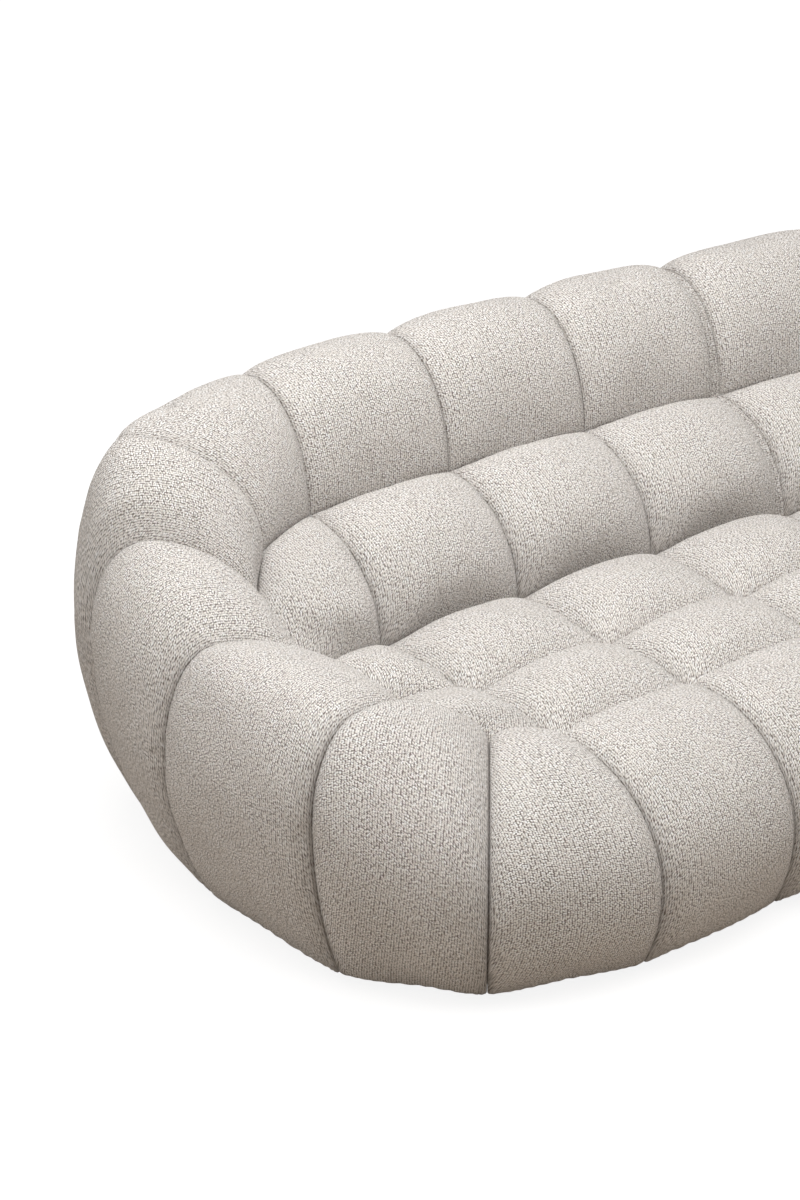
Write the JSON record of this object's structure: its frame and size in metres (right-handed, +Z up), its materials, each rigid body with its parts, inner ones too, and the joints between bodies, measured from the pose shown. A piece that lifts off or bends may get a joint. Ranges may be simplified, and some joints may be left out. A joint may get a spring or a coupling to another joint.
{
  "type": "curved sectional sofa",
  "caption": "Low curved sofa in deep channel-tufted upholstery; two rounded end sections slide apart from a middle section on locating pins.",
  "frame": {"origin": "floor level at the centre of the whole sofa's plan box", "axes": "+X along the sofa's length, +Y towards its back, +Z up; a sitter faces -Y"},
  "size_m": [3.7576, 1.4054, 0.7517],
  "materials": {
    "upholstery": "heathered looped boucle, matte",
    "foam": "cut open-cell foam",
    "plywood": "raw sawn birch plywood",
    "webbing": "woven elastic",
    "dust_cloth": "non-woven cloth",
    "glide_plastic": "moulded",
    "steel": "zinc plated"
  },
  "bodies": {
    "middle": {"middle_base_board": "plywood", "middle_ribs": "plywood", "middle_back_panel": "plywood", "middle_seat_rails": "plywood", "middle_webbing": "webbing", "middle_seat_foam": "foam", "middle_back_foam": "foam", "middle_front_foam": "foam", "middle_joint_panels": "upholstery", "middle_crest_pads": "upholstery", "middle_lumbar_pads": "upholstery", "middle_rear_seat_pads": "upholstery", "middle_front_seat_pads": "upholstery", "middle_front_edge_pads": "upholstery", "middle_dust_cover": "dust_cloth", "middle_glides": "glide_plastic", "middle_screws": "steel", "middle_pin_sockets": "steel"},
    "left_end": {"left_base_board": "plywood", "left_ribs": "plywood", "left_back_panel": "plywood", "left_seat_rails": "plywood", "left_webbing": "webbing", "left_seat_foam": "foam", "left_back_foam": "foam", "left_arm_foam": "foam", "left_front_foam": "foam", "left_joint_panel": "upholstery", "left_crest_pads": "upholstery", "left_lumbar_pads": "upholstery", "left_rear_seat_pads": "upholstery", "left_front_seat_pads": "upholstery", "left_arm_pads": "upholstery", "left_front_edge_pads": "upholstery", "left_dust_cover": "dust_cloth", "left_glides": "glide_plastic", "left_screws": "steel", "left_locating_pins": "steel"},
    "right_end": {"right_base_board": "plywood", "right_ribs": "plywood", "right_back_panel": "plywood", "right_seat_rails": "plywood", "right_webbing": "webbing", "right_seat_foam": "foam", "right_back_foam": "foam", "right_arm_foam": "foam", "right_front_foam": "foam", "right_joint_panel": "upholstery", "right_crest_pads": "upholstery", "right_lumbar_pads": "upholstery", "right_rear_seat_pads": "upholstery", "right_front_seat_pads": "upholstery", "right_arm_pads": "upholstery", "right_front_edge_pads": "upholstery", "right_dust_cover": "dust_cloth", "right_glides": "glide_plastic", "right_screws": "steel", "right_locating_pins": "steel"}
  },
  "joints": [
    {"name": "left_pull_apart", "type": "slide", "parent": "middle", "child": "left_end", "axis": [-0.9986, -0.0525, 0], "range_m": [0, 0.3]},
    {"name": "right_pull_apart", "type": "slide", "parent": "middle", "child": "right_end", "axis": [0.9986, -0.0525, 0], "range_m": [0, 0.3]}
  ]
}
